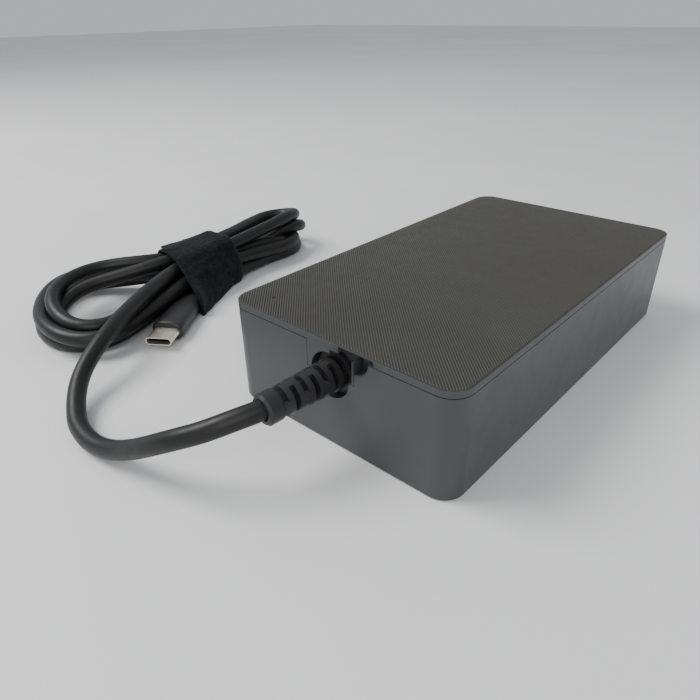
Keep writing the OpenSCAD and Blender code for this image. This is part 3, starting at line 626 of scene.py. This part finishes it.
# Sizes in millimetres. The overlap is a share of a turn, as is the place where the second layer starts.
TIE_STATIONS = 41
TIE_ROUND = 230
TIE_THICK = 0.95
TIE_SLACK = 0.3
TIE_OVERLAP = 0.8
TIE_FOOT_LEFT = 0.9
TIE_FOOT_RIGHT = 3.9
SECOND_LAYER = 0.93
TIE_CURL = 0.5
TIE_LEAST_HEIGHT = 0.12
LOOP_STATIONS = 360


def hull(points):
    points = sorted(map(tuple, points))
    halves = []
    for run in (points, points[::-1]):
        chain = []
        for p in run:
            while len(chain) > 1 and ((chain[-1][0] - chain[-2][0]) * (p[1] - chain[-2][1])
                                      - (chain[-1][1] - chain[-2][1]) * (p[0] - chain[-2][0])) <= 0:
                chain.pop()
            chain.append(p)
        halves += chain[:-1]
    return np.array(halves)


def strands_cut(path, base, along, foot):
    """Where a plane across the tie cuts the lead's turns and the overmould's sides, and the tie's foot."""
    normal = np.array((along[1], -along[0], 0))
    end = np.array(PLUG_AT + PLUG_AXIS * (SHELL_LENGTH + GRIP_LENGTH + 1))
    side_way = np.array((-PLUG_AXIS[1], PLUG_AXIS[0], 0))
    sides = [np.array([end - np.array(PLUG_AXIS) * 20 + side_way * w, end + side_way * w * 0.8])
             for w in (-2.4, 2.4)]
    cuts = []
    for run, reach in [(path, LEAD_R)] + [(g, 2.9) for g in sides]:
        away = (run - base) @ normal
        for k in np.nonzero(away[:-1] * away[1:] < 0)[0]:
            at = run[k] + (run[k + 1] - run[k]) * away[k] / (away[k] - away[k + 1])
            across = float((at - base) @ along)
            if -6 < across < 60:
                cuts.append((across, float(at[2]), reach))
    return np.array(cuts + [(foot, 0.9, 0.3)])


def bundle_outline(path, share):
    """The loop the tie takes around the strands in one plane across it, from under the back round."""
    base = left_edge(81, 0) * (1 - share) + right_edge(94, 0) * share
    tip = left_edge(121, 0) * (1 - share) + right_edge(121, 0) * share
    along = (tip - base) / np.linalg.norm(tip - base)
    cuts = strands_cut(path, base, along, TIE_FOOT_LEFT * (1 - share) + TIE_FOOT_RIGHT * share)
    turn = np.linspace(0, 2 * math.pi, 24, endpoint=False)
    ring = np.concatenate([np.stack([c[0] + (c[2] + TIE_SLACK) * np.cos(turn),
                                     c[1] + (c[2] + TIE_SLACK) * np.sin(turn)], 1) for c in cuts])
    edge = hull(ring)
    edge = np.vstack([edge, edge[:1]])
    run = np.r_[0, np.cumsum(np.linalg.norm(np.diff(edge, axis=0), axis=1))]
    even = np.linspace(0, run[-1], LOOP_STATIONS + 1)[:-1]
    loop = np.stack([np.interp(even, run, edge[:, k]) for k in range(2)], 1)
    for _ in range(14):
        for _ in range(12):
            loop = (np.roll(loop, 1, axis=0) + 2 * loop + np.roll(loop, -1, axis=0)) / 4
        for across, height, reach in cuts:
            away = loop - (across, height)
            far = np.linalg.norm(away, axis=1)[:, None]
            clear_of = (across, height) + away / far * (reach + TIE_SLACK)
            loop = np.where(far < reach + TIE_SLACK, clear_of, loop)
    start = np.argmin(np.hypot(loop[:, 0] - loop[:, 0].max(), loop[:, 1] - loop[:, 1].min()))
    return np.roll(loop, -start, axis=0)[::-1], base, along


def make_tie(path):
    loops, bases, alongs = [], [], []
    for share in np.linspace(0, 1, TIE_STATIONS):
        loop, base, along = bundle_outline(path, share)
        loops.append(loop)
        bases.append(base)
        alongs.append(along)
    loops = np.array(loops)
    for _ in range(6):
        loops[1:-1] = (loops[:-2] + 2 * loops[1:-1] + loops[2:]) / 4
    count = loops.shape[1]
    turns = 1 + TIE_OVERLAP
    rows = int(TIE_ROUND * turns)
    inner, outer = [], []
    for r in range(rows + 1):
        phase = turns * r / rows
        second = min(max((phase - SECOND_LAYER) / 0.09, 0), 1)
        lift = TIE_THICK * 1.03 * second * second * (3 - 2 * second)
        tail = min(max((phase - turns + 0.05) / 0.05, 0), 1)
        for k in range(TIE_STATIONS):
            x = phase * count
            i = int(math.floor(x)) % count
            f = x - math.floor(x)
            at = loops[k][i] * (1 - f) + loops[k][(i + 1) % count] * f
            ahead = loops[k][(i + 4) % count] - loops[k][(i - 4) % count]
            out = np.array((-ahead[1], ahead[0])) / np.linalg.norm(ahead)
            share = k / (TIE_STATIONS - 1)
            curl = TIE_CURL * tail * tail * (1 - share) ** 2
            rim = max(0.0, 1 - min(share, 1 - share) * 22 / 0.9)
            weave = (0.16 * noise.noise(Vector((r * 0.2, k * 0.2, 3)))
                     + 0.13 * noise.noise(Vector((r * 0.9, k * 0.9, 9))))
            for side, store in ((0, inner), (1, outer)):
                face = side * (1 - 0.35 * rim) + (1 - side) * 0.35 * rim
                depth = lift + curl + TIE_THICK * face + weave * side
                p = at + out * depth
                place = bases[k] + alongs[k] * p[0]
                floor = TIE_LEAST_HEIGHT + (1.1 if side == 0 else 0) if phase < SECOND_LAYER else 0.05
                store.append((place[0], place[1], max(p[1], floor)))
    verts = np.array(inner + outer) * MM
    wide, half, faces = TIE_STATIONS, len(inner), []
    for r in range(rows):
        for k in range(wide - 1):
            a, b, c, d = r * wide + k, r * wide + k + 1, (r + 1) * wide + k + 1, (r + 1) * wide + k
            faces += [(a, b, c, d), (half + d, half + c, half + b, half + a)]
        for k, flip in ((0, False), (wide - 1, True)):
            a, b = r * wide + k, (r + 1) * wide + k
            quad = (a, b, half + b, half + a)
            faces.append(quad[::-1] if flip else quad)
    for r, flip in ((0, True), (rows, False)):
        for k in range(wide - 1):
            a, b = r * wide + k, r * wide + k + 1
            quad = (a, b, half + b, half + a)
            faces.append(quad[::-1] if flip else quad)
    tie = mesh_object("tie", verts, faces, NAP)
    middle = verts[half:].reshape(rows + 1, wide, 3)[:, wide // 2]
    length = sum(float(np.linalg.norm(b - a)) for a, b in zip(middle, middle[1:]))
    width = float(np.mean([np.linalg.norm(verts[half + r * wide + wide - 1] - verts[half + r * wide])
                           for r in range(rows)]))
    return tie, width, length


tie, tie_width, tie_length = make_tie(line)
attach(tie, "root")
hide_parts("hank_tie")


# ---- Stage ----

def floor_material():
    m, nt, sh = new_material("pale_floor")
    v = coords(nt)
    tint = ramp(nt, add_noise(nt, v, 3), (0.72, 0.72, 0.73), (0.78, 0.78, 0.78))
    nt.links.new(tint, sh.inputs["Base Color"])
    nt.links.new(ramp(nt, add_noise(nt, v, 40), 0.55, 0.7), sh.inputs["Roughness"])
    return m


FLOOR_HALF = 3.0
LIGHT_AIM = (-0.02, 0.04, 0.0)
SKY = (0.95, 0.97, 1.0, 1)
SKY_STRENGTH = 0.55


def lay_floor():
    verts = [(-FLOOR_HALF, -FLOOR_HALF, 0), (FLOOR_HALF, -FLOOR_HALF, 0),
             (FLOOR_HALF, FLOOR_HALF, 0), (-FLOOR_HALF, FLOOR_HALF, 0)]
    floor = mesh_object("floor", verts, [(0, 1, 2, 3)], floor_material(), smooth=False)


def add_light(name, place, power, size):
    data = bpy.data.lights.new(name, "AREA")
    data.energy, data.size = power, size
    o = bpy.data.objects.new(name, data)
    bpy.context.scene.collection.objects.link(o)
    o.location = place
    o.rotation_mode = "QUATERNION"
    o.rotation_quaternion = (Vector(LIGHT_AIM) - Vector(place)).to_track_quat("-Z", "Y")


def light_scene():
    world = bpy.data.worlds.new("studio")
    bpy.context.scene.world = world
    world.use_nodes = True
    background = world.node_tree.nodes["Background"]
    background.inputs[0].default_value = SKY
    background.inputs[1].default_value = SKY_STRENGTH
    add_light("key", (-0.35, 0.55, 0.75), power=9, size=0.5)
    add_light("fill", (-0.6, -0.5, 0.5), power=3.5, size=0.7)


lay_floor()
light_scene()
